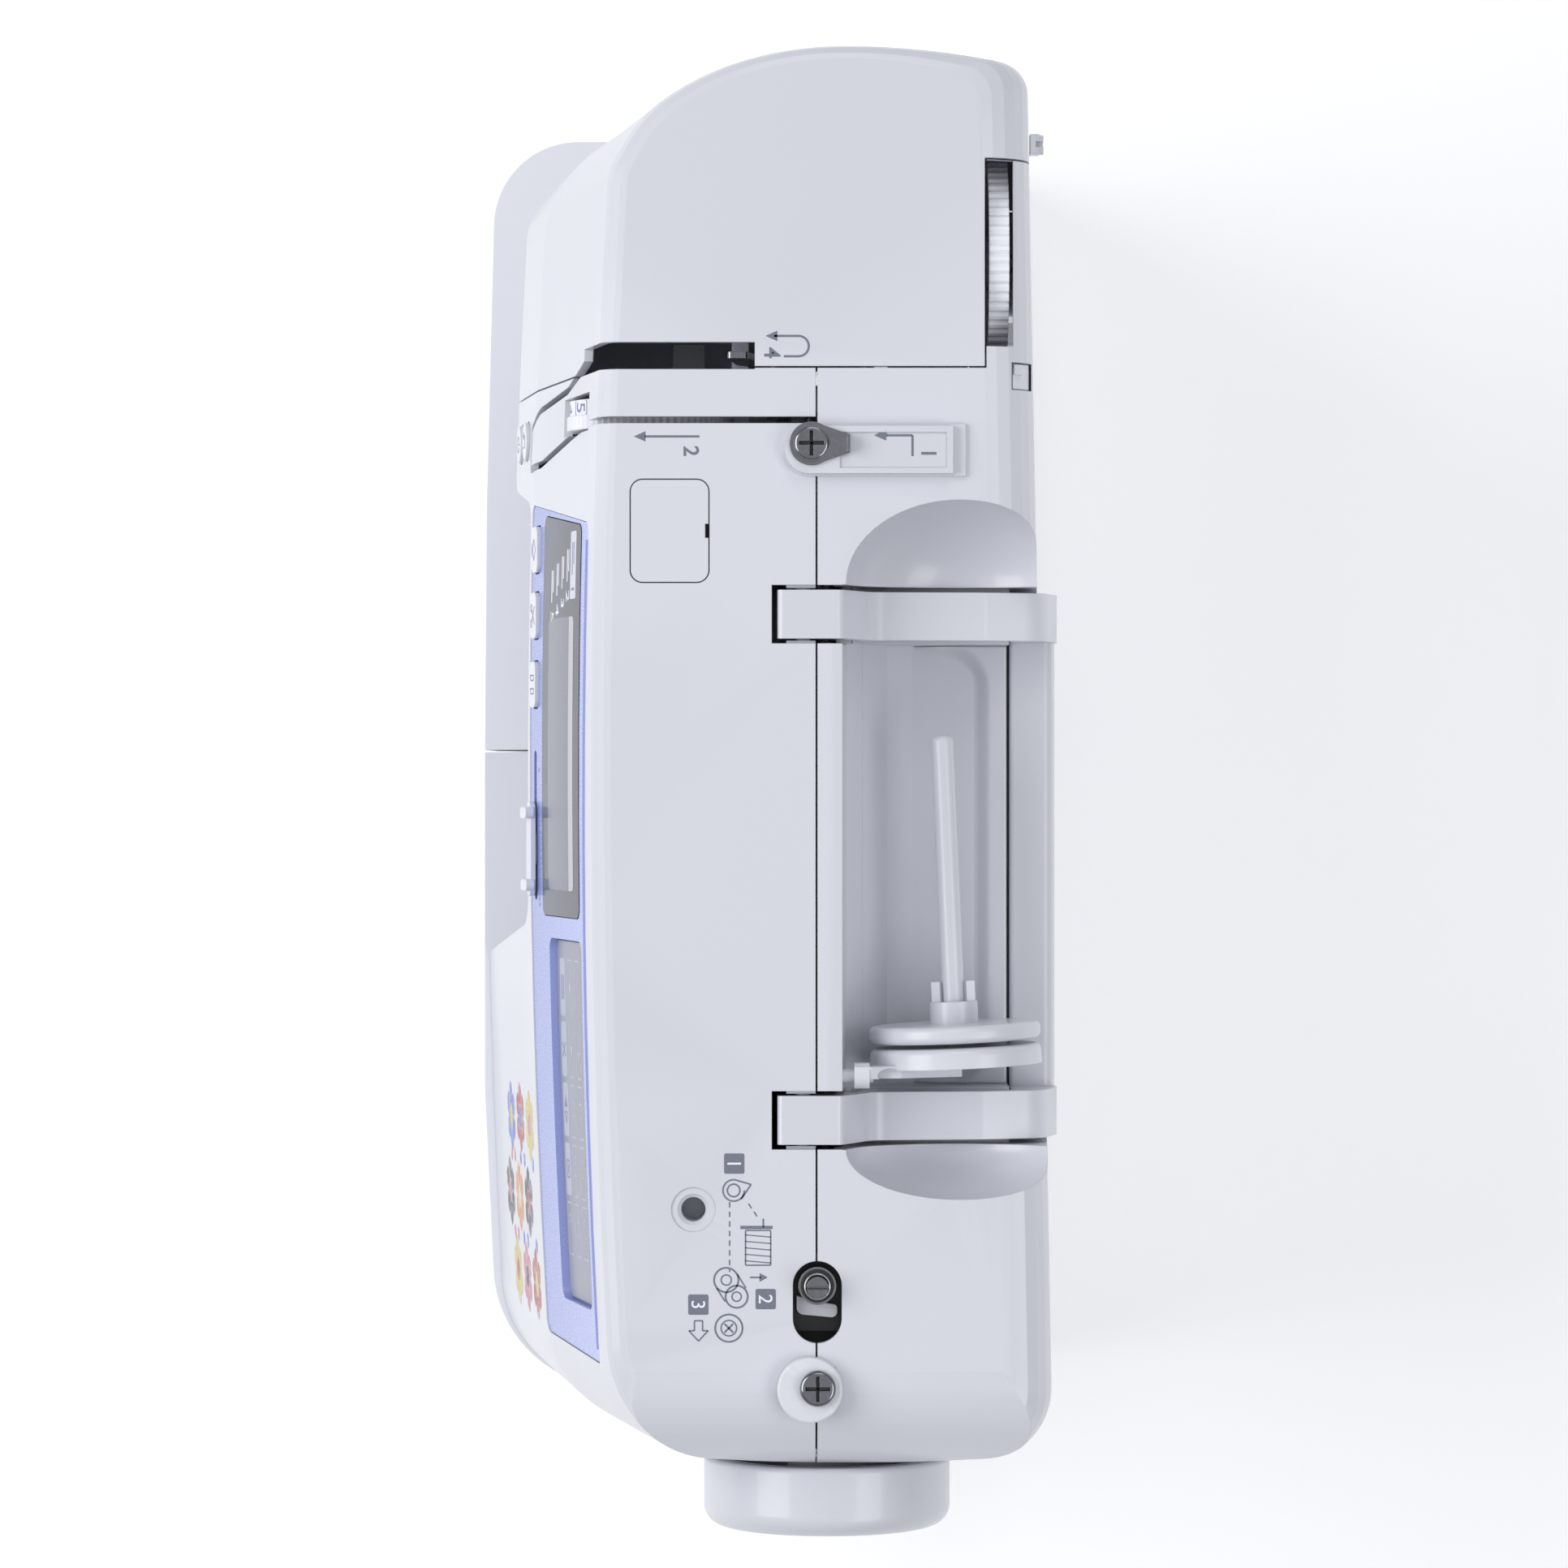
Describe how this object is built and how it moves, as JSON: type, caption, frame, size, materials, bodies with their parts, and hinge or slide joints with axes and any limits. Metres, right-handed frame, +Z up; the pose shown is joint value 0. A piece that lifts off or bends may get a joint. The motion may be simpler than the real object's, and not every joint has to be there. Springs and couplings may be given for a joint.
{
  "type": "sewing machine",
  "caption": "Free-arm household sewing machine with an electronic stitch panel, a folding carrying handle, a horizontal spool pin and a removable extension table.",
  "frame": {"origin": "on the table, under the middle of the machine", "axes": "+X from the needle head to the handwheel, -Y towards the operator, +Z up"},
  "size_m": [0.4068, 0.1692, 0.2954],
  "materials": {
    "casing_white": "smooth",
    "panel_lavender": "satin",
    "display_dark": "gloss",
    "keypad_film": "satin",
    "key_white": "smooth",
    "slider_grey": "matte",
    "screw_steel": "polished",
    "steel": "brushed",
    "dark_plastic": "matte",
    "rubber_black": "matte",
    "frame_cast": "cast",
    "board_green": "matte",
    "bronze_bush": "machined",
    "clear_cover": "clear",
    "lamp_lens": "frosted",
    "belt_black": "matte",
    "motor_zinc": "satin",
    "dial_grey": "satin",
    "bed_white": "smooth"
  },
  "bodies": {
    "casing": {"face_cover": "casing_white", "rear_cover": "casing_white", "front_cover": "casing_white", "channel_cover": "casing_white", "front_panel": "panel_lavender", "lcd_window": "display_dark", "keypad_film": "keypad_film", "access_cover": "casing_white", "guide_pad": "casing_white", "guide_plate": "screw_steel", "cover_screws": "screw_steel", "winder_bracket": "dark_plastic", "thread_hook": "key_white", "base_pan": "bed_white", "rubber_feet": "rubber_black", "bed_housing": "bed_white", "power_inlet": "dark_plastic", "needle_plate": "steel", "chassis_frame": "frame_cast", "shaft_bushes": "bronze_bush", "motor": "motor_zinc", "drive_belts": "belt_black", "control_board": "board_green", "head_lamp": "lamp_lens", "bobbin_holder": "dark_plastic"},
    "main_shaft": {"upper_shaft": "steel", "shaft_pulleys": "dark_plastic", "handwheel": "casing_white"},
    "crank_rod": {"connecting_rod": "steel"},
    "lower_drive": {"lower_shaft": "steel"},
    "hook": {"rotary_hook": "screw_steel"},
    "rotor": {"motor_pulley": "steel"},
    "take_up": {"take_up_lever": "screw_steel"},
    "needle_unit": {"needle_bar": "steel", "needle_bar_clamps": "steel", "needle": "screw_steel"},
    "presser": {"presser_bar": "steel", "presser_foot": "screw_steel"},
    "lifter": {"presser_lifter": "steel"},
    "feed": {"feed_dog": "steel"},
    "bobbin_body": {"bobbin": "clear_cover"},
    "hook_lid": {"hook_cover": "clear_cover"},
    "release": {"cover_release": "dark_plastic"},
    "table": {"extension_table": "bed_white"},
    "table_lid": {"accessory_lid": "bed_white"},
    "handle": {"carrying_handle": "casing_white"},
    "spool_arm": {"spool_pin": "casing_white"},
    "spool_cap": {"spool_holder": "casing_white"},
    "tension": {"tension_dial": "dial_grey"},
    "pressure": {"pressure_dial": "dial_grey"},
    "winder": {"winder_carriage": "dial_grey"},
    "winder_pin": {"winder_spindle": "screw_steel"},
    "stopper": {"winder_stopper": "key_white"},
    "key_pattern": {"pattern_key": "key_white"},
    "key_trim": {"thread_trim_key": "key_white"},
    "key_needle": {"needle_up_key": "key_white"},
    "key_start": {"start_stop_key": "key_white"},
    "key_reverse": {"reverse_key": "key_white"},
    "slider": {"speed_slider": "slider_grey"},
    "switch": {"power_switch": "dark_plastic"}
  },
  "joints": [
    {"name": "main_shaft_spin", "type": "hinge", "parent": "casing", "child": "main_shaft", "pos_m": [0, 0.0194, 0.232], "axis": [1, 0, 0], "continuous": true},
    {"name": "crank_rod_spin", "type": "hinge", "parent": "main_shaft", "child": "crank_rod", "pos_m": [-0.1156, 0.0194, 0.247], "axis": [1, 0, 0], "continuous": true},
    {"name": "lower_shaft_spin", "type": "hinge", "parent": "casing", "child": "lower_drive", "pos_m": [0, 0.00095, 0.0495], "axis": [1, 0, 0], "continuous": true},
    {"name": "hook_spin", "type": "hinge", "parent": "casing", "child": "hook", "pos_m": [-0.135, -0.012, 0], "axis": [0, 0, 1], "continuous": true},
    {"name": "motor_spin", "type": "hinge", "parent": "casing", "child": "rotor", "pos_m": [0, 0.044, 0.112], "axis": [1, 0, 0], "continuous": true},
    {"name": "take_up_swing", "type": "hinge", "parent": "casing", "child": "take_up", "pos_m": [0, 0.031, 0.2105], "axis": [1, 0, 0], "range_deg": [0, 35]},
    {"name": "needle_stroke", "type": "slide", "parent": "casing", "child": "needle_unit", "axis": [0, 0, 1], "range_m": [-0.03, 0]},
    {"name": "presser_lift", "type": "slide", "parent": "casing", "child": "presser", "axis": [0, 0, 1], "range_m": [0, 0.006]},
    {"name": "lifter_swing", "type": "hinge", "parent": "casing", "child": "lifter", "pos_m": [0, 0.044, 0.17], "axis": [1, 0, 0], "range_deg": [0, 45]},
    {"name": "feed_drop", "type": "slide", "parent": "casing", "child": "feed", "axis": [0, 0, 1], "range_m": [-0.0025, 0]},
    {"name": "bobbin_spin", "type": "hinge", "parent": "casing", "child": "bobbin_body", "pos_m": [-0.135, -0.012, 0], "axis": [0, 0, 1], "continuous": true},
    {"name": "hook_cover_lift", "type": "slide", "parent": "casing", "child": "hook_lid", "axis": [0, 0, 1], "range_m": [0, 0.02]},
    {"name": "cover_release_slide", "type": "slide", "parent": "casing", "child": "release", "axis": [1, 0, 0], "range_m": [0, 0.0024], "stiffness_N_per_m": 200},
    {"name": "table_slide", "type": "slide", "parent": "casing", "child": "table", "axis": [-1, 0, 0], "range_m": [0, 0.19]},
    {"name": "accessory_lid_swing", "type": "hinge", "parent": "table", "child": "table_lid", "pos_m": [0, -0.0809, 0.0188], "axis": [1, 0, 0], "range_deg": [0, 80]},
    {"name": "handle_swing", "type": "hinge", "parent": "casing", "child": "handle", "pos_m": [0, 0.0125, 0.2815], "axis": [1, 0, 0], "range_deg": [0, 95]},
    {"name": "spool_pin_tilt", "type": "hinge", "parent": "casing", "child": "spool_arm", "pos_m": [0.0755, 0, 0.2835], "axis": [0, 1, 0], "range_deg": [0, 25]},
    {"name": "spool_cap_slide", "type": "slide", "parent": "spool_arm", "child": "spool_cap", "axis": [-0.999, -0.0436, 0], "range_m": [0, 0.03]},
    {"name": "tension_turn", "type": "hinge", "parent": "casing", "child": "tension", "pos_m": [0, -0.0296, 0.252], "axis": [1, 0, 0], "range_deg": [-60, 60]},
    {"name": "pressure_turn", "type": "hinge", "parent": "casing", "child": "pressure", "pos_m": [-0.147, 0, 0.2562], "axis": [0, 1, 0], "range_deg": [-90, 90]},
    {"name": "winder_shift", "type": "slide", "parent": "casing", "child": "winder", "axis": [1, 0, 0], "range_m": [0, 0.006]},
    {"name": "winder_spin", "type": "hinge", "parent": "winder", "child": "winder_pin", "pos_m": [0.132, 0.0164, 0], "axis": [0, 0, 1], "continuous": true},
    {"name": "stopper_turn", "type": "hinge", "parent": "casing", "child": "stopper", "pos_m": [0.1593, 0.0165, 0], "axis": [0, 0, 1], "range_deg": [-30, 30]},
    {"name": "pattern_press", "type": "slide", "parent": "casing", "child": "key_pattern", "axis": [0, 0.9747, -0.2237], "range_m": [0, 0.001], "stiffness_N_per_m": 400},
    {"name": "trim_press", "type": "slide", "parent": "casing", "child": "key_trim", "axis": [0, 0.9747, -0.2237], "range_m": [0, 0.001], "stiffness_N_per_m": 400},
    {"name": "needle_press", "type": "slide", "parent": "casing", "child": "key_needle", "axis": [0, 0.9747, -0.2237], "range_m": [0, 0.001], "stiffness_N_per_m": 400},
    {"name": "start_press", "type": "slide", "parent": "casing", "child": "key_start", "axis": [0, 0.9878, -0.1555], "range_m": [0, 0.001], "stiffness_N_per_m": 400},
    {"name": "reverse_press", "type": "slide", "parent": "casing", "child": "key_reverse", "axis": [0, 0.9878, -0.1555], "range_m": [0, 0.001], "stiffness_N_per_m": 400},
    {"name": "speed_slide", "type": "slide", "parent": "casing", "child": "slider", "axis": [1, 0, 0], "range_m": [-0.0145, 0]},
    {"name": "power_rock", "type": "hinge", "parent": "casing", "child": "switch", "pos_m": [0.176, 0, 0.046], "axis": [0, 1, 0], "range_deg": [-8, 8]}
  ],
  "couplings": [
    {"joint": "crank_rod_spin", "follows": "main_shaft_spin", "ratio": -1},
    {"joint": "lower_shaft_spin", "follows": "main_shaft_spin", "ratio": 1},
    {"joint": "hook_spin", "follows": "main_shaft_spin", "ratio": 2},
    {"joint": "motor_spin", "follows": "main_shaft_spin", "ratio": 4},
    {"joint": "presser_lift", "follows": "lifter_swing", "m_per_rad": 0.0076}
  ]
}
